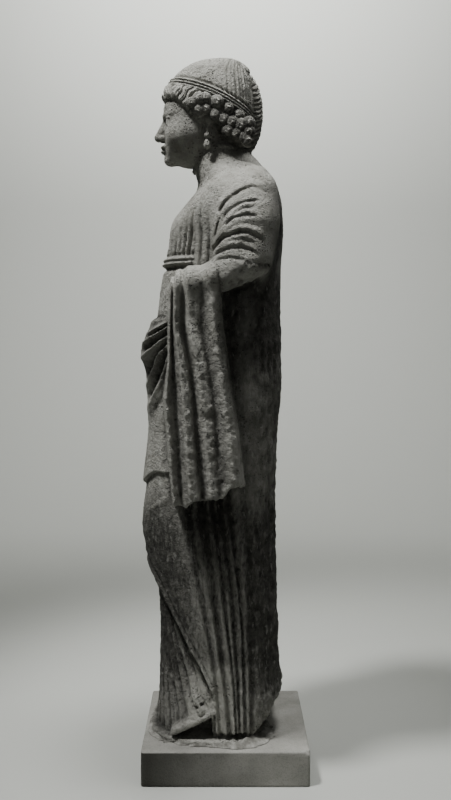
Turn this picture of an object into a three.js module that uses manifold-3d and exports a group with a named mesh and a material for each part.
// A draped woman carved in limestone, about half life size, set with plaster on a low square plinth.
// Millimetres, +Z up. She faces -Y and her left side is +X.
// The origin is the middle of the plinth's underside.
import * as THREE from "three";
import { mergeVertices } from "three/addons/utils/BufferGeometryUtils.js";
import Module from "manifold-3d";

const wasm = await Module();
wasm.setup();

// Driving dimensions.
const PLINTH_WIDTH = 218;
const PLINTH_HEIGHT = 45;
const PLINTH_CORNER = 5;
const PLINTH_BEVEL = 2.5;
const FIGURE_HEIGHT = 920;
const SLAB_HEIGHT = 6;

// Heights on the figure, as shares of her height above the plinth.
const level = (share) => PLINTH_HEIGHT + share * FIGURE_HEIGHT;
const SOLE = PLINTH_HEIGHT + SLAB_HEIGHT;
const KNEE = level(0.3);
const APRON_EDGE = level(0.365);
const ROLL_PEAK = level(0.56);
const ROLL_TOP = level(0.608);
const BELT = level(0.69);
const BUST = level(0.735);
const SHOULDER = level(0.795);
const CHIN = level(0.837);
const BROW = level(0.91);

const LIMESTONE = new THREE.MeshStandardMaterial({ color: 0xa8a493, roughness: 0.9, metalness: 0 });
const PALE_PLASTER = new THREE.MeshStandardMaterial({ color: 0xbdbcb0, roughness: 0.95, metalness: 0 });
const PAINTED_BLOCK = new THREE.MeshStandardMaterial({ color: 0x9b9a90, roughness: 0.85, metalness: 0 });

// Small helpers for numbers and curves.
const radians = THREE.MathUtils.degToRad;
const ramp = (from, to, x) => {
  const t = THREE.MathUtils.clamp((x - from) / (to - from), 0, 1);
  return t * t * (3 - 2 * t);
};
const mix = THREE.MathUtils.lerp;
const bump = (x, width) => Math.exp(-((x / width) ** 2));

// A smooth curve through rows of [height, value, value, ...], as a function of the height.
function curve(rows) {
  return (z) => {
    let k = rows.findIndex((row) => row[0] > z) - 1;
    if (z <= rows[0][0]) return rows[0].slice(1);
    if (k < 0) return rows.at(-1).slice(1);
    const [a, b] = [rows[k], rows[k + 1]];
    const [before, after] = [rows[Math.max(k - 1, 0)], rows[Math.min(k + 2, rows.length - 1)]];
    const span = b[0] - a[0];
    const t = (z - a[0]) / span;
    return a.slice(1).map((value, i) => {
      const next = b[i + 1];
      const slopeA = ((next - before[i + 1]) / (b[0] - before[0])) * span;
      const slopeB = ((after[i + 1] - value) / (after[0] - a[0])) * span;
      const t2 = t * t;
      const t3 = t2 * t;
      const starting = (2 * t3 - 3 * t2 + 1) * value + (t3 - 2 * t2 + t) * slopeA;
      const ending = (3 * t2 - 2 * t3) * next + (t3 - t2) * slopeB;
      return starting + ending;
    });
  };
}

// A value in one column of a table of rows, on straight lines between the places in its first column.
function between(rows, x, column = 1) {
  const k = rows.findIndex((row) => row[0] >= x);
  if (k <= 0) return (k < 0 ? rows.at(-1) : rows[0])[column];
  const [a, b] = [rows[k - 1], rows[k]];
  return mix(a[column], b[column], (x - a[0]) / (b[0] - a[0]));
}

// The distance from an axis to a rounded outline with its own reach to the front, back and each side.
// The angle is 0 at the front, 90 at her left, 180 at the back and -90 at her right.
function outlineRadius(angle, front, back, left, right, squareness) {
  const x = Math.sin(radians(angle));
  const y = -Math.cos(radians(angle));
  const across = x > 0 ? left : right;
  const along = y < 0 ? front : back;
  return (Math.abs(x / across) ** squareness + Math.abs(y / along) ** squareness) ** (-1 / squareness);
}

// Pleats as rounded crests with narrow furrows between them, one for each whole step of the phase.
const pleat = (phase) => Math.abs(Math.cos(Math.PI * phase)) ** 0.8 - 0.6;

// A closed solid from rings of points: pointAt(row, column) gives each point.
// The two end rings are capped.
function loft(rows, columns, pointAt) {
  const corners = [];
  const faces = [];
  for (let j = 0; j < rows; j++) {
    for (let i = 0; i < columns; i++) corners.push(...pointAt(j, i));
  }
  const at = (j, i) => j * columns + (i % columns);
  for (let j = 0; j < rows - 1; j++) {
    for (let i = 0; i < columns; i++) {
      faces.push(at(j, i), at(j, i + 1), at(j + 1, i + 1), at(j, i), at(j + 1, i + 1), at(j + 1, i));
    }
  }
  for (const row of [0, rows - 1]) {
    const ring = Array.from({ length: columns }, (_, i) => at(row, i) * 3);
    const middle = [0, 1, 2].map((k) => ring.reduce((sum, corner) => sum + corners[corner + k], 0) / columns);
    const tip = corners.length / 3;
    corners.push(...middle);
    for (let i = 0; i < columns; i++) {
      if (row === 0) faces.push(tip, at(row, i + 1), at(row, i));
      else faces.push(tip, at(row, i), at(row, i + 1));
    }
  }
  return new THREE.BufferGeometry()
    .setAttribute("position", new THREE.Float32BufferAttribute(corners, 3))
    .setIndex(faces);
}

// Heights from low to high in even steps, with extra heights put in.
function steps(low, high, count, extra = []) {
  const even = Array.from({ length: count + 1 }, (_, j) => mix(low, high, j / count));
  return [...even, ...extra].sort((a, b) => a - b);
}

// A loft round an upright axis: middleAt(z) gives its middle [x, y] and radiusAt(angle, z) its outline.
function uprightLoft(heights, angles, middleAt, radiusAt) {
  return loft(heights.length, angles.length, (j, i) => {
    const z = heights[j];
    const [x, y] = middleAt(z);
    const r = radiusAt(angles[i], z);
    return [x + r * Math.sin(radians(angles[i])), y - r * Math.cos(radians(angles[i])), z];
  });
}

const evenAngles = (count) => Array.from({ length: count }, (_, i) => (i * 360) / count - 180);

// Joining and cutting. Vertices nearer than the tolerance are merged, so that a join leaves no slivers,
// and the outer shell is kept, so that stone fills any pocket between two pieces.
const JOIN_TOLERANCE = 0.2;
function solid(geometry) {
  const bare = new THREE.BufferGeometry().setAttribute("position", geometry.getAttribute("position"));
  if (geometry.index) bare.setIndex(geometry.index);
  const merged = mergeVertices(bare, 1e-3);
  return new wasm.Manifold(
    new wasm.Mesh({
      numProp: 3,
      vertProperties: new Float32Array(merged.getAttribute("position").array),
      triVerts: new Uint32Array(merged.index.array),
    }),
  );
}

function join(solids) {
  const sum = solids.reduce((made, next) => made.add(next));
  const shells = sum.simplify(JOIN_TOLERANCE).decompose();
  return shells.reduce((outer, next) => (next.volume() > outer.volume() ? next : outer));
}

function toGeometry(made) {
  const mesh = made.getMesh();
  return new THREE.BufferGeometry()
    .setAttribute("position", new THREE.BufferAttribute(mesh.vertProperties, 3))
    .setIndex(new THREE.BufferAttribute(mesh.triVerts, 1));
}

function named(name, geometry, material) {
  const mesh = new THREE.Mesh(geometry, material);
  mesh.name = name;
  return mesh;
}

// The body: a tunic (chiton) girdled high under the bust, and a mantle wrapped round the hips and legs.
// Each row is a height and how far the body reaches to the front, back, left and right there.
const bodyReach = curve([
  [SOLE, 95, 72, 84, 84],
  [level(0.035), 98, 79, 85, 85],
  [level(0.085), 97, 74, 85, 84],
  [level(0.17), 97, 70, 86, 85],
  [level(0.225), 101, 69, 87, 86],
  [KNEE, 107, 68, 89, 88],
  [APRON_EDGE, 108, 68, 92, 92],
  [level(0.43), 107, 70, 94, 95],
  [level(0.5), 109, 76, 96, 97],
  [ROLL_PEAK, 110, 76, 95, 98],
  [ROLL_TOP, 94, 75, 91, 92],
  [level(0.65), 89, 76, 84, 85],
  [BELT, 82, 77, 80, 80],
  [level(0.725), 73, 79, 84, 84],
  [level(0.755), 66, 78, 92, 92],
  [level(0.783), 48, 75, 95, 95],
  [SHOULDER, 39, 72, 93, 93],
  [level(0.81), 31, 66, 79, 79],
  [level(0.823), 27, 59, 62, 62],
  [level(0.838), 25, 49, 42, 42],
  [level(0.853), 20, 37, 28, 28],
]);
const FLAT_BACK = 2.9;
const ROUND_FRONT = 2.25;
function bodyRadius(angle, z) {
  const [front, back, left, right] = bodyReach(z);
  const half = (front + back) / 2;
  return outlineRadius(angle, half, half, left, right, Math.abs(angle) > 90 ? FLAT_BACK : ROUND_FRONT);
}
function onBody(angle, z, raised) {
  const [front, back] = bodyReach(z);
  const r = bodyRadius(angle, z) + raised;
  return [r * Math.sin(radians(angle)), (back - front) / 2 - r * Math.cos(radians(angle)), z];
}
const signedAngle = (angle) => (angle > 180 ? angle - 360 : angle);

// The skirt of the tunic hangs in straight pleats behind the open front of the mantle.
// They lean in as they rise. It swells over the left foot, and behind that foot its hem is cut free.
const PLEAT_ANGLE = 10;
const SKIRT_DEPTH = 7.5;
const SKIRT_LEVELS = [0.016, 0.05, 0.12, 0.19, 0.25].map(level);
const hemCutFree = (angle, z) => -9 * ramp(80, 88, angle) * ramp(122, 112, angle) * ramp(62, 57, z);
function skirtRelief(column, angle, z) {
  const overFoot = 8 * bump(angle - 70, 18) * ramp(150, 104, z);
  const flare = 3 * ramp(100, SOLE, z);
  const depth = 5.5 - 4 * bump(angle - 66, 18) * ramp(160, 115, z);
  return depth * pleat(column / PLEAT_ANGLE) - SKIRT_DEPTH + flare + overFoot + hemCutFree(angle, z);
}
function makeSkirt() {
  const pleats = Array.from({ length: 38 }, (_, i) => -90 + i * (PLEAT_ANGLE / 2));
  const plain = Array.from({ length: 4 }, (_, i) => mix(pleats.at(-1), 270, (i + 1) / 5));
  const columns = [...pleats, ...plain].map(signedAngle);
  const heights = [SOLE - 4, ...SKIRT_LEVELS];
  return loft(heights.length, columns.length, (j, i) => {
    const z = heights[j];
    const lean = 0.6 * ((z - SOLE) / 200) * ramp(96, 70, Math.abs(columns[i]));
    const angle = columns[i] * (1 - lean);
    return onBody(angle, z, skirtRelief(columns[i], angle, z));
  });
}

// The mantle's lower hem climbs from her left foot to the front of the shins and falls again on her right.
// Each row is an angle and the hem's height there.
const HEM = [
  [-180, 44],
  [-132, 44],
  [-116, 62],
  [-95, 118],
  [-75, 168],
  [-60, 203],
  [-40, 240],
  [-20, 262],
  [0, 270],
  [16, 268],
  [27, 259],
  [44, 236],
  [51, 219],
  [61, 189],
  [67.5, 167],
  [76, 144],
  [81, 127],
  [86, 104],
  [92, 47],
  [180, 44],
];
const hemHeight = (angle) => Math.max(between(HEM, angle), SOLE - 4);

// Its folds hang down her left side and draw together towards the foot.
// Each row is the angle of a crest at the top, under the falling end, and at the bottom.
const LEG_FOLDS = [
  [58, 91],
  [69, 96],
  [78, 99.5],
  [88, 104],
  [96, 108.5],
  [103, 113],
  [112, 119],
];
const LEG_DEPTHS = [4, 3, 4.6, 3.2, 4.4, 2.8];
const LEG_TOP = level(0.33);
const LEG_BOTTOM = level(0.088);
const legDown = (z) => THREE.MathUtils.clamp((LEG_TOP - z) / (LEG_TOP - LEG_BOTTOM), 0, 1.25);
const legAngle = ([top, bottom], z) => mix(top, bottom, legDown(z));
function legFolds(angle, z) {
  const crests = LEG_FOLDS.map((fold) => legAngle(fold, z));
  const k = crests.findIndex((crest, i) => i < crests.length - 1 && angle >= crest && angle < crests[i + 1]);
  if (k < 0) return 0;
  const phase = (angle - crests[k]) / (crests[k + 1] - crests[k]);
  const edge = k === 0 ? ramp(0, 0.5, phase) : k === crests.length - 2 ? ramp(1, 0.5, phase) : 1;
  return LEG_DEPTHS[k] * (pleat(phase) - 0.4) * edge * ramp(level(0.44), level(0.38), z);
}
function hemRidge(angle, z) {
  const hem = hemHeight(angle);
  return 3 * bump(z - hem - 8, 7) * ramp(SOLE, SOLE + 40, hem);
}
const bentKnee = (angle, z) => 9 * bump(angle - 20, 22) * bump(z - KNEE, 45);
const shin = (angle, z) => 5 * bump(angle - 46, 22) * bump(z - level(0.19), 75);
const underMantleEnd = (angle, z) => -14 * ramp(316, 368, z) * ramp(46, 58, angle) * ramp(126, 112, angle);
const LEG_SHAPES = [legFolds, hemRidge, bentKnee, shin, underMantleEnd, hemCutFree];
const legRelief = (angle, z) => LEG_SHAPES.reduce((sum, shape) => sum + shape(angle, z), 0);

// Round the hips its rolled upper edge and the taut folds below it fan out from her left hand,
// and its overfold ends in a step across the thighs.
// Each row is a crest or a furrow: how far it stands out, then its height at each of the angles.
const FAN_ANGLES = [-110, -50, 0, 30, 45, 55, 80];
const FAN_LINES = [
  [1, 606, 606, 606, 606, 606, 607, 609],
  [-1.5, 594, 592, 591, 595, 600, 604, 608],
  [3, 584, 581, 579, 584.7, 592.6, 600.3, 606],
  [-2.5, 576, 573, 571, 578.5, 587.5, 596, 603],
  [5.5, 568, 565, 563.3, 572.2, 582.4, 591.8, 600],
  [-5, 558, 553, 553, 563.5, 574, 583.9, 594],
  [5, 545, 540, 541.7, 550.4, 565.7, 578, 589],
  [-4, 530, 522, 521.5, 532.3, 554.3, 571, 583],
  [3.5, 515, 504, 503.3, 518.2, 544.3, 565, 578],
  [-3.5, 500, 489, 488, 504.7, 536.3, 558.5, 572],
  [2, 485, 474, 472.7, 490, 515.2, 545.9, 562],
  [-1, 460, 446, 444, 462, 484, 512, 535],
];
const FAN_TABLES = FAN_LINES.map(([, ...heights]) => heights.map((height, i) => [FAN_ANGLES[i], height]));
const apronHeight = (angle) => APRON_EDGE - 4 + 22 * ramp(5, 45, angle) - 12 * ramp(0, -60, angle);
const underElbow = (angle, z) => -11 * bump(z - level(0.6), 60) * bump(angle - 92, 20);
function hipRelief(angle, z, stand) {
  const taut = stand * ramp(-115, -70, angle) * ramp(92, 66, angle) * (1 - 0.85 * bump(angle, 28));
  const bulges = 7 * bump(z - 575, 24) + 4 * bump(z - 597, 9) + 3 * bump(z - 553, 8);
  const roll = bulges * ramp(-125, -95, angle) * ramp(84, 62, angle);
  const rim = -1.5 * ramp(66, 90, Math.abs(angle)) * ramp(600, 605, z);
  const edge = 4 * ramp(-110, -90, angle) * ramp(78, 62, angle) * ramp(470, 385, z);
  return taut + roll + edge + rim + underElbow(angle, z);
}

function makeMantle() {
  const crests = LEG_FOLDS.flatMap((fold, k) => {
    const next = LEG_FOLDS[k + 1];
    return next ? [fold, [(fold[0] + next[0]) / 2, (fold[1] + next[1]) / 2]] : [fold];
  });
  const front = Array.from({ length: 10 }, (_, i) => LEG_FOLDS[0].map((crest) => mix(-96, crest, i / 10)));
  const last = LEG_FOLDS.at(-1);
  const back = Array.from({ length: 8 }, (_, i) => last.map((crest) => mix(crest, 264, (i + 1) / 9)));
  const columns = [...front, ...crests, ...back];
  const legRows = 10;
  const hipRows = FAN_LINES.length + 1;
  return loft(legRows + hipRows, columns.length, (j, i) => {
    const column = columns[i];
    if (j >= legRows) {
      const angle = signedAngle(column[0]);
      const line = legRows + FAN_LINES.length - j;
      const z = j === legRows ? apronHeight(angle) : between(FAN_TABLES[line], angle);
      const stand = j === legRows ? 0 : FAN_LINES[line][0];
      return onBody(angle, z, hipRelief(angle, z, stand) + bentKnee(angle, z));
    }
    let hem = LEG_BOTTOM;
    for (let pass = 0; pass < 16; pass++) hem = (hem + hemHeight(signedAngle(legAngle(column, hem)))) / 2;
    const top = apronHeight(signedAngle(column[0])) - 3;
    const z = j === 0 ? hem : mix(hem + 7, top, (j - 1) / (legRows - 2));
    const angle = signedAngle(legAngle(column, z));
    return onBody(angle, z, legRelief(angle, z));
  });
}

// The upper part of the tunic, with fine pleats gathered by the belt, which is a cord.
function chestPleats(angle, z) {
  const above = ramp(BELT + 4, BELT + 12, z) * ramp(level(0.824), level(0.795), z) * 3.4;
  const below = ramp(ROLL_TOP - 30, ROLL_TOP + 8, z) * ramp(BELT - 4, BELT - 12, z) * 2.4;
  return (above + below) * pleat(angle / PLEAT_ANGLE) * ramp(84, 68, Math.abs(angle));
}
const belt = (angle, z) =>
  (5 * bump(z - BELT, 4.5) - 2 * bump(z - BELT + 9, 4)) * ramp(100, 80, Math.abs(angle));
const bust = (angle, z) => 8 * (bump(angle - 33, 19) + bump(angle + 33, 19)) * bump(z - BUST, 26);
const tuck = (angle, z) => -4 * ramp(ROLL_TOP, ROLL_TOP - 30, z);
// The mantle lies over the left shoulder, and fills the space between the arm and the body.
function shoulderCloth(angle, z) {
  const height = ramp(level(0.64), level(0.67), z) * ramp(SHOULDER + 18, SHOULDER, z);
  return 4 * ramp(60, 65, angle) * ramp(130, 110, angle) * height;
}
const behindArm = (angle, z) =>
  29 * bump(angle - 110, 25) * ramp(level(0.65), level(0.7), z) * ramp(level(0.785), level(0.735), z);
const CHEST_SHAPES = [chestPleats, belt, bust, tuck, shoulderCloth, behindArm, underElbow];
const chestRelief = (angle, z) => CHEST_SHAPES.reduce((sum, shape) => sum + shape(angle, z), 0);
function makeChest() {
  const pleats = Array.from({ length: 30 }, (_, i) => -70 + i * (PLEAT_ANGLE / 2));
  const plain = [82, 90, 98, 106, 114, 122, 131, 142, 156, 174, 196, 220, 244, 266];
  const angles = [...pleats, ...plain].map(signedAngle);
  const cord = [-14, -5, 0, 5, 11].map((step) => BELT + step);
  const upper = [0.715, 0.743, 0.768, 0.79, 0.809, 0.824, 0.839, 0.853].map(level);
  const heights = [ROLL_TOP - 30, ROLL_TOP, ROLL_TOP + 18, ...cord, ...upper];
  return loft(heights.length, angles.length, (j, i) => {
    return onBody(angles[i], heights[j], chestRelief(angles[i], heights[j]));
  });
}

// The stone slab under her feet follows the foot of the garments.
const SLAB_COLUMNS = 32;
const SLAB_MIDDLE = [0, -10.5];
const SLAB_BACK = 66;
function slabRadius(angle) {
  const wavy = 1.2 * Math.sin(radians(angle * 5));
  return outlineRadius(angle, 90, SLAB_BACK, 91, 90, 3) + wavy;
}
const makeSlab = () =>
  uprightLoft([PLINTH_HEIGHT, SOLE - 1.5, SOLE], evenAngles(SLAB_COLUMNS), () => SLAB_MIDDLE, (angle, z) =>
    slabRadius(angle) - ramp(SOLE - 1.5, SOLE, z) * 1.5,
  );

// Her left arm, wrapped in the mantle: the upper arm hangs and the forearm reaches forward to a broken end.
const leftArm = curve([
  [level(0.632), 100, 20, 12, 16],
  [level(0.641), 102, 21, 22, 31],
  [level(0.662), 102, 21, 27, 36],
  [level(0.7), 99, 20, 29, 37],
  [level(0.745), 93, 19, 31, 38],
  [level(0.778), 83, 19, 31, 38],
  [level(0.805), 67, 20, 27, 36],
  [level(0.822), 54, 20, 16, 26],
]);
// The cloth under the elbow slants up to the back. Each row is a place along y and its lowest height.
const UNDER_ARM = [
  [-14, 633],
  [0, 639],
  [18, 645],
  [46, 656],
];
// Curved folds rise from the crook of the elbow and go over the arm to the back.
// The sleeve's share is 0 at the crook and 1 at the shoulder, and each fold keeps to one share.
const CROOK = [-22, level(0.681)];
const SLEEVE_HEIGHT = 122;
const SLEEVE_FOLDS = 8;
const sleeveRise = (y) => Math.max(1 - Math.exp(-(y - CROOK[0]) / 17), 0.3);
const sleeveShare = (y, z) => (z - CROOK[1]) / (SLEEVE_HEIGHT * sleeveRise(y));
function sleeveFold(share) {
  const depth = 2.6 + 0.8 * Math.cos(share * 15);
  return depth * pleat(share * SLEEVE_FOLDS) * ramp(-0.06, 0.06, share) * ramp(1.06, 0.94, share);
}
function makeUpperArm() {
  const columns = 16;
  const below = [level(0.632), level(0.641), level(0.66)];
  const fold = Array.from({ length: 2 * SLEEVE_FOLDS + 1 }, (_, j) => j / (2 * SLEEVE_FOLDS));
  return loft(below.length + fold.length + 2, columns, (j, i) => {
    const angle = radians((i * 360) / columns);
    const [side, front] = [Math.sin(angle), Math.cos(angle)];
    const folded = j - below.length;
    const top = level(0.822);
    let y = 20;
    let z = top;
    if (folded < 0) {
      y = leftArm(below[j])[1] - leftArm(below[j])[3] * front;
      z = Math.max(below[j], between(UNDER_ARM, y) + 4 * j);
    }
    for (let pass = 0; pass < 8 && folded >= 0; pass++) {
      const crown = CROOK[1] + SLEEVE_HEIGHT * sleeveRise(y);
      const above = (folded - fold.length + 1) / 2;
      z = folded < fold.length ? mix(CROOK[1], crown, fold[folded]) : mix(crown, top, above);
      y = leftArm(z)[1] - leftArm(z)[3] * front;
    }
    const [x, middle, across, along] = leftArm(folded < 0 ? below[j] : z);
    const raised = folded < 0 ? 0 : sleeveFold(sleeveShare(y, z)) * ramp(-0.2, 0.3, side) * ramp(64, 30, y);
    return [x + (across + raised) * side, middle - (along + raised) * front, z];
  });
}
const forearm = curve([
  [-74, 101, level(0.643), 15, 11],
  [-66, 101, level(0.648), 20, 17],
  [-30, 101, level(0.658), 22, 21],
  [10, 101, level(0.674), 24.5, 23],
  [34, 101.5, level(0.682), 22, 21],
  [50, 101, level(0.694), 11, 11],
]);
function makeForearm() {
  const places = [-74, -68, -50, -26, 0, 18, 34, 50];
  return loft(places.length, 14, (j, i) => {
    const [x, z, across, high] = forearm(places[j]);
    const angle = radians((i * 360) / 14);
    return [x + across * Math.sin(angle), places[j], z + high * Math.cos(angle)];
  });
}

// The end of the mantle falls from the forearm in heavy folds that spread as they go down.
// Each row is a crest or a furrow, from front to back: how far it stands out, then its y at each height.
const FALL_LEVELS = [366, 410, 450, 500, 545, 590, 655];
const FALL_LINES = [
  [-9, -69, -72.5, -76, -81, -75, -75, -72],
  [3, -65, -69.5, -71.5, -76, -71.5, -71, -69],
  [-6.5, -56, -58.5, -61, -64.5, -68, -69, -67],
  [7, -43, -47, -50, -53, -57.5, -66, -64],
  [-5.5, -28, -32, -36, -40, -45, -56, -55],
  [6.5, -16, -20, -25, -30, -36, -46.3, -48],
  [-2, -6, -9, -12, -15, -21, -30, -30],
  [5, 11, 7, 4, -2, -8, -16, -20],
  [-3, 16, 12, 9, 2, -3.5, -11, -15],
  [-14, 25, 19, 15, 8, 3, -5, -9],
];
const FALL_TABLES = FALL_LINES.map(([, ...places]) => places.map((place, i) => [FALL_LEVELS[i], place]));
// Its lower edge steps up towards the back. Each row is a place along y and the edge's height.
const FALL_EDGE = [
  [-69, 362],
  [-50, 359.5],
  [-37, 370],
  [-4, 372],
  [6, 383],
  [13, 386],
  [25, 378],
];
const FALL_OVERLAP = 3;
const FALL_FACE = 118;
const FALL_INNER = 70;
const FALL_ROWS = 9;
const FALL_STEPS = 2;
function fallPlace(place, z) {
  const k = Math.min(Math.floor(place), FALL_LINES.length - 2);
  const t = place - k;
  return {
    y: mix(between(FALL_TABLES[k], z), between(FALL_TABLES[k + 1], z), t),
    stand: mix(FALL_LINES[k][0], FALL_LINES[k + 1][0], ramp(0, 1, t)),
  };
}
function makeMantleEnd() {
  const folds = FALL_LINES.length - 1;
  const columns = folds * FALL_STEPS + 1;
  return loft(FALL_ROWS, columns + 2, (j, i) => {
    const down = 1 - j / (FALL_ROWS - 1);
    const inner = i >= columns;
    const place = inner ? (columns + 1 - i) * folds : i / FALL_STEPS;
    const edge = between(FALL_EDGE, fallPlace(place, FALL_LEVELS[0]).y);
    const top = forearm(fallPlace(place, FALL_LEVELS.at(-1)).y)[1] + FALL_OVERLAP;
    const z = mix(top, edge, down);
    const { y, stand } = fallPlace(place, z);
    if (inner) return [FALL_INNER, y, z];
    const relief = stand * ramp(-0.25, 0.3, down) + 2.5 * ramp(560, 380, z) - 3 * ramp(0.15, 0, down);
    return [FALL_FACE + relief, y, z];
  });
}

// Her right arm hangs at her side: a sleeve to the elbow, the bare forearm and the hand against the thigh.
const rightArm = curve([
  [level(0.462), -103, -26, 7, 11],
  [level(0.475), -105, -25, 12, 19],
  [level(0.505), -107, -22, 14, 21],
  [level(0.535), -108, -17, 13, 16],
  [level(0.555), -108, -14, 15, 17],
  [level(0.62), -106, 0, 20, 22],
  [level(0.645), -106, 6, 22, 24],
  [level(0.652), -106, 8, 27, 31],
  [level(0.7), -100, 14, 28, 34],
  [level(0.745), -93, 18, 30, 37],
  [level(0.778), -83, 19, 31, 38],
  [level(0.805), -67, 20, 27, 36],
  [level(0.822), -54, 20, 16, 26],
]);
function makeRightArm() {
  const columns = 10;
  const heights = steps(level(0.462), level(0.822), 13, [level(0.652)]);
  const sleeve = (z) => ramp(level(0.65), level(0.66), z) * ramp(level(0.8), level(0.78), z);
  return loft(heights.length, columns, (j, i) => {
    const [x, y, across, along] = rightArm(heights[j]);
    const angle = radians((i * 360) / columns);
    const fold = 1.8 * sleeve(heights[j]) * Math.cos(Math.PI * i);
    return [x + (across + fold) * Math.sin(angle), y - (along + fold) * Math.cos(angle), heights[j]];
  });
}

// The neck, with a twisted necklace lying round it, lower at the front.
const neck = curve([
  [level(0.79), 3, 52, 38],
  [level(0.81), -1, 53, 36],
  [level(0.823), -5, 49, 36],
  [level(0.838), -9, 43, 35],
  [level(0.85), -12, 37, 33],
  [level(0.862), -14, 32, 31.5],
  [level(0.875), -14, 28, 30],
]);
function makeNeck() {
  return uprightLoft(
    steps(level(0.79), level(0.875), 6),
    evenAngles(16),
    (z) => [0, neck(z)[0]],
    (angle, z) => outlineRadius(angle, neck(z)[2], neck(z)[2], neck(z)[1], neck(z)[1], 2),
  );
}
function makeNecklace() {
  const rope = 4.2;
  const ring = new THREE.TorusGeometry(31, rope, 5, 16);
  ring.applyMatrix4(new THREE.Matrix4().makeScale(1, 1.1, 1));
  ring.applyMatrix4(new THREE.Matrix4().makeRotationX(radians(24)));
  return ring.translate(0, -9, level(0.842));
}

// The head. The skull and a plain classical face of thirds: hairline, brow, base of the nose and chin.
const FACE_THIRD = (BROW - CHIN) / 2;
const NOSE_BASE = CHIN + FACE_THIRD;
const EYE_LINE = BROW - 0.2 * FACE_THIRD;
const MOUTH = NOSE_BASE - 0.34 * FACE_THIRD;
const HAIRLINE = BROW + 0.8 * FACE_THIRD;
// The hair over the skull makes a full dome: half an ellipsoid with fuller corners.
const DOME = { y: -16, crownBack: 11, z: 893, front: 70, back: 61, side: 50, high: 71, power: 2.4 };
const DOME_SHARES = [0.04, 0.2, 0.36, 0.52, 0.66, 0.78, 0.88, 0.95, 0.99];
function domeRow(share) {
  const reach = (1 - share ** DOME.power) ** (1 / DOME.power);
  const z = DOME.z + share * DOME.high;
  const y = DOME.y + DOME.crownBack * share ** 2;
  return [z, DOME.front * reach - y, DOME.back * reach + y, DOME.side * reach];
}
const headReach = curve([
  [CHIN - 4, 60, -20, 16],
  [CHIN + 3, 76, 4, 25],
  [CHIN + 12, 79, 17, 31],
  [NOSE_BASE, 80, 34, 38],
  [mix(NOSE_BASE, BROW, 0.5), 82, 45, 43],
  [BROW, 86, 47, 49],
  ...DOME_SHARES.map(domeRow),
]);
const headMiddle = (z) => {
  const [front, back] = headReach(z);
  return [0, (back - front) / 2];
};
function nose(angle, z) {
  const down = (BROW - z) / (BROW - NOSE_BASE);
  const length = ramp(-0.1, 0.25, down) * ramp(1.12, 0.98, down);
  return mix(4, 15, THREE.MathUtils.clamp(down, 0, 1)) * length * bump(angle, 5.5);
}
const eyes = (angle, z) => -5 * bump(Math.abs(angle) - 21, 10) * bump(z - EYE_LINE, 8);
const lips = (angle, z) => 3.2 * bump(angle, 11) * (bump(z - MOUTH - 2, 2.6) + bump(z - MOUTH + 3, 2.6));
const chin = (angle, z) => 3 * bump(angle, 13) * bump(z - CHIN - 9, 7);
function frontHair(angle, z) {
  const line = HAIRLINE - Math.abs(angle) * 0.42;
  const band = bandHeight(-80);
  const locks = 4.5 + 3.5 * pleat(angle / 12 + z / 40);
  return locks * ramp(line, line + 9, z) * ramp(70, 50, Math.abs(angle)) * ramp(band + 14, band + 4, z);
}

// A band goes round the hair, high over the forehead and low at the nape.
// Each row is a place along y and its height.
const BAND = [
  [-94, 934],
  [-60, 924],
  [-36, 916],
  [-5, 903],
  [24, 887],
  [52, 868],
];
const bandHeight = (y) => between(BAND, y);

function headRadius(angle, z) {
  const [front, back, side] = headReach(z);
  const half = (front + back) / 2;
  const base = outlineRadius(angle, half, half, side, side, Math.abs(angle) > 90 ? 2.3 : 2.05);
  return base + [nose, eyes, lips, chin, frontHair].reduce((sum, part) => sum + part(angle, z), 0);
}
function headAngles() {
  const face = [0, 5, 11, 19, 28, 38, 50, 64, 78];
  const rest = [97, 122, 150];
  const oneSide = [...face, ...rest];
  return [...oneSide.slice(1).map((angle) => -angle).reverse(), ...oneSide, 180];
}
function makeHead() {
  const mouth = [-5, -2, 0, 3].map((step) => MOUTH + step);
  const face = [CHIN - 4, CHIN, CHIN + 7, ...mouth, NOSE_BASE - 3, NOSE_BASE + 1];
  const eyes = [0.3, 0.55, 0.72, 0.84, 1].map((share) => mix(NOSE_BASE, BROW, share));
  const hair = [0.08, 0.22, 0.36, 0.49, 0.61, 0.72, 0.82, 0.9, 0.95, 0.99];
  const dome = hair.map((share) => DOME.z + share * DOME.high);
  return uprightLoft([...face, ...eyes, ...dome], headAngles(), headMiddle, headRadius);
}
function makeBand() {
  const columns = 24;
  const half = 5;
  return loft(4, columns, (j, i) => {
    const angle = -180 + (i * 360) / columns;
    const spread = j % 3 ? 2.5 : -3;
    let z = bandHeight(0);
    let y = 0;
    for (let pass = 0; pass < 6; pass++) {
      y = headMiddle(z)[1] - headRadius(angle, z) * Math.cos(radians(angle));
      z = bandHeight(y);
    }
    z += j < 2 ? -half : half;
    const r = Math.max(headRadius(angle, z), 20) + spread;
    return [r * Math.sin(radians(angle)), headMiddle(z)[1] - r * Math.cos(radians(angle)), z];
  });
}

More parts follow.
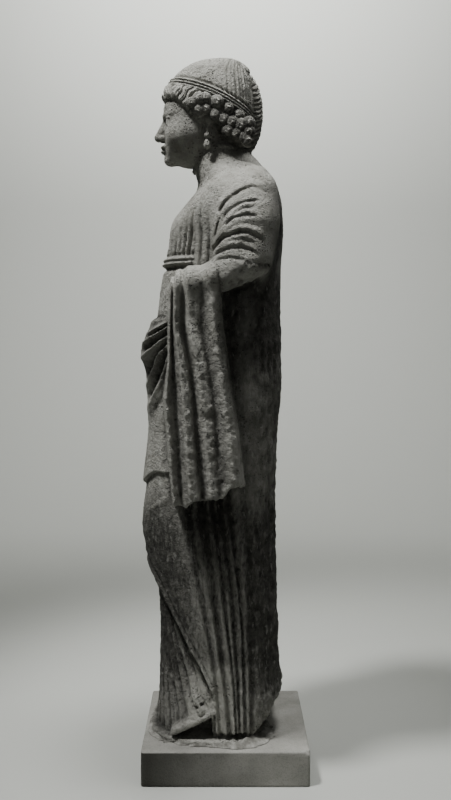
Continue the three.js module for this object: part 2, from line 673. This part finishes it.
// Rows of snail curls lie below the band on each side, from the temple to the nape.
const CURL_SIZE = 8;
const CURLS_PER_ROW = [6, 6, 3];
const CURL_ROW_STARTS = [-46, -34, 2];
function makeCurls(side) {
  const curls = [];
  CURLS_PER_ROW.forEach((count, row) => {
    for (let i = 0; i < count; i++) {
      const y = mix(CURL_ROW_STARTS[row], 33 - row * 2, i / (count - 1));
      const z = bandHeight(y) - 15 - row * 12 - (row === 0 ? 10 * bump(i, 0.8) : 0);
      const reach = headReach(z);
      const [, middle] = headMiddle(z);
      const half = (reach[0] + reach[1]) / 2;
      const x = Math.max(reach[2] * Math.sqrt(Math.max(1 - ((y - middle) / half) ** 2, 0)), 33);
      curls.push(new THREE.IcosahedronGeometry(CURL_SIZE, 0).translate(side * (x - 0.5), y, z));
    }
  });
  return curls;
}
const EARRING_PLACE = { x: 40, y: -26, z: level(0.878) };
function makeEarring(side) {
  const drops = [
    [4, 5, 0],
    [4.5, 5.5, -11],
    [5, 8.5, -24],
  ];
  return drops.map(([wide, high, down]) => {
    const drop = new THREE.OctahedronGeometry(1, 0).scale(wide, wide, high);
    return drop.translate(side * EARRING_PLACE.x, EARRING_PLACE.y, EARRING_PLACE.z + down);
  });
}
// A thick plaited roll closes the hair at the back, from behind the crown to the nape.
const plait = curve([
  [level(0.85), 32, 7, 7],
  [level(0.865), 41, 10, 8.5],
  [level(0.9), 45, 13, 9.5],
  [level(0.935), 45.5, 13, 9.5],
  [level(0.955), 42, 12, 9],
  [level(0.97), 35, 11, 9],
]);
function makePlait() {
  const heights = steps(level(0.85), level(0.97), 8);
  return loft(heights.length, 8, (j, i) => {
    const [y, across, along] = plait(heights[j]);
    const angle = radians(i * 45);
    const twist = 1 + 0.12 * (j % 2);
    return [across * twist * Math.sin(angle), y - along * twist * Math.cos(angle), heights[j]];
  });
}

// The feet in thick-soled sandals. The right one stands flat and shows its toes.
// The left one rises on its toes, and the space round it is cut out of the garments under an arched hem.
const SOLE_THICKNESS = 9;
const RIGHT_FOOT = { heel: [-24, -40, SOLE - 3], toe: [-24, -97, SOLE - 3], width: 38, instep: 30 };
const LEFT_FOOT = { heel: [70, -6, 85], toe: [66, -73, 53], width: 40, instep: 15 };
function makeFoot({ heel, toe, width, instep }) {
  const way = new THREE.Vector2(toe[0] - heel[0], toe[1] - heel[1]);
  const length = way.length();
  way.normalize();
  const side = new THREE.Vector2(way.y, -way.x);
  const rows = 8;
  return loft(rows, 12, (j, i) => {
    const t = j / (rows - 1);
    const end = t > 0.9 ? 0.75 : 1;
    const wide = (width / 2) * (0.72 + 0.28 * Math.sin(Math.PI * t)) * end;
    const high = instep * (0.22 + 0.78 * Math.cos((Math.PI / 2) * t) ** 1.3) * end;
    const angle = radians(i * 30);
    const across = wide * Math.sin(angle);
    const upper = Math.cos(angle) > -0.4 ? SOLE_THICKNESS : 0;
    return [
      heel[0] + way.x * length * t + side.x * across,
      heel[1] + way.y * length * t + side.y * across,
      mix(heel[2], toe[2], t) + upper + Math.max(high * Math.cos(angle), 0),
    ];
  });
}

// A cutter with the same outline of [y, z] points at each of its places along x, drawn by outlineAt(x).
function crosswiseCutter(places, outlineAt) {
  const columns = outlineAt(places[0]).length;
  return loft(places.length, columns, (j, i) => [places[j], ...outlineAt(places[j])[i]]);
}
const makeFootHollow = () =>
  crosswiseCutter([46, 130], () => [
    [-90, SOLE],
    [-16, SOLE],
    [-19, 92],
    [-28, 96],
    [-45, 84],
    [-64, 66],
    [-72, 55],
    [-90, 53],
  ]);
// The foot of the back is broken away at a slant, unevenly.
const BREAK_START = 34.5;
const BREAK_SLOPE = 1.25;
function makeBreak() {
  return crosswiseCutter(steps(-125, 125, 14), (x) => {
    const uneven = 2.5 * Math.sin(x / 9) + 1.5 * Math.sin(x / 4.3);
    const onSlant = (y, above) => [y, SOLE + BREAK_SLOPE * (y - BREAK_START) + above];
    return [
      [BREAK_START, SOLE - 8],
      [130, SOLE - 8],
      onSlant(130, 0),
      onSlant(82, uneven),
      onSlant(58, -uneven),
      onSlant(BREAK_START, 0),
    ];
  });
}

function makeStatue() {
  const garments = solid(makeSkirt()).add(solid(makeMantle()));
  const opened = garments.subtract(solid(makeFootHollow())).subtract(solid(makeBreak()));
  const parts = [
    makeChest(),
    makeSlab(),
    makeUpperArm(),
    makeForearm(),
    makeMantleEnd(),
    makeRightArm(),
    makeNeck(),
    makeNecklace(),
    makeHead(),
    makeBand(),
    makePlait(),
    ...makeCurls(1),
    ...makeCurls(-1),
    ...makeEarring(1),
    ...makeEarring(-1),
    makeFoot(LEFT_FOOT),
    makeFoot(RIGHT_FOOT),
  ];
  return named("statue", toGeometry(join([opened, ...parts.map(solid)])), LIMESTONE);
}

// Plaster laid in a low, crumbly ring round the stone slab holds the statue on the plinth.
const PLASTER_GAP = 0.3;
function makePlaster() {
  const columns = SLAB_COLUMNS;
  const width = (angle) => 8 + 3 * Math.sin(radians(angle * 3 + 40)) + 2 * Math.sin(radians(angle * 8));
  const room = PLINTH_WIDTH / 2 - 5;
  const furthest = (angle) => {
    const toFront = room / Math.max(Math.abs(Math.sin(radians(angle))), 0.01);
    const facing = Math.cos(radians(angle));
    const toSide = (room + SLAB_MIDDLE[1] * facing) / Math.max(Math.abs(facing), 0.01);
    return Math.min(toFront, toSide);
  };
  const height = (angle) => 3.4 + 1.2 * Math.sin(radians(angle * 5)) + 0.8 * bump(angle - 130, 40);
  const corners = [];
  const faces = [];
  for (let i = 0; i < columns; i++) {
    const angle = (i * 360) / columns - 180;
    const inner = slabRadius(angle) + PLASTER_GAP;
    const wide = Math.min(width(angle), furthest(angle) - inner);
    const section = [
      [inner, 0],
      [inner + wide, 0],
      [inner + wide * 0.55, height(angle) * 0.7],
      [inner, height(angle)],
    ];
    for (const [r, up] of section) {
      corners.push(
        SLAB_MIDDLE[0] + r * Math.sin(radians(angle)),
        SLAB_MIDDLE[1] - r * Math.cos(radians(angle)),
        PLINTH_HEIGHT + up,
      );
    }
    const next = (i + 1) % columns;
    for (let k = 0; k < 4; k++) {
      const [a, b] = [i * 4 + k, i * 4 + ((k + 1) % 4)];
      const [c, d] = [next * 4 + ((k + 1) % 4), next * 4 + k];
      faces.push(a, c, b, a, d, c);
    }
  }
  return new THREE.BufferGeometry()
    .setAttribute("position", new THREE.Float32BufferAttribute(corners, 3))
    .setIndex(faces);
}

// The plinth: a square block with its upright corners rounded and its edges eased.
function makePlinth() {
  const half = PLINTH_WIDTH / 2 - PLINTH_BEVEL;
  const corner = PLINTH_CORNER;
  const outline = new THREE.Shape();
  outline.moveTo(-half + corner, -half);
  outline.absarc(half - corner, -half + corner, corner, -Math.PI / 2, 0);
  outline.absarc(half - corner, half - corner, corner, 0, Math.PI / 2);
  outline.absarc(-half + corner, half - corner, corner, Math.PI / 2, Math.PI);
  outline.absarc(-half + corner, -half + corner, corner, Math.PI, Math.PI * 1.5);
  const block = new THREE.ExtrudeGeometry(outline, {
    depth: PLINTH_HEIGHT - 2 * PLINTH_BEVEL,
    bevelSize: PLINTH_BEVEL,
    bevelThickness: PLINTH_BEVEL,
    bevelSegments: 1,
    curveSegments: 3,
  });
  return named("plinth", block.translate(0, 0, PLINTH_BEVEL), PAINTED_BLOCK);
}

const figure = new THREE.Group();
figure.add(makeStatue());
figure.add(named("plaster_bedding", makePlaster(), PALE_PLASTER));
figure.add(makePlinth());

export default figure;
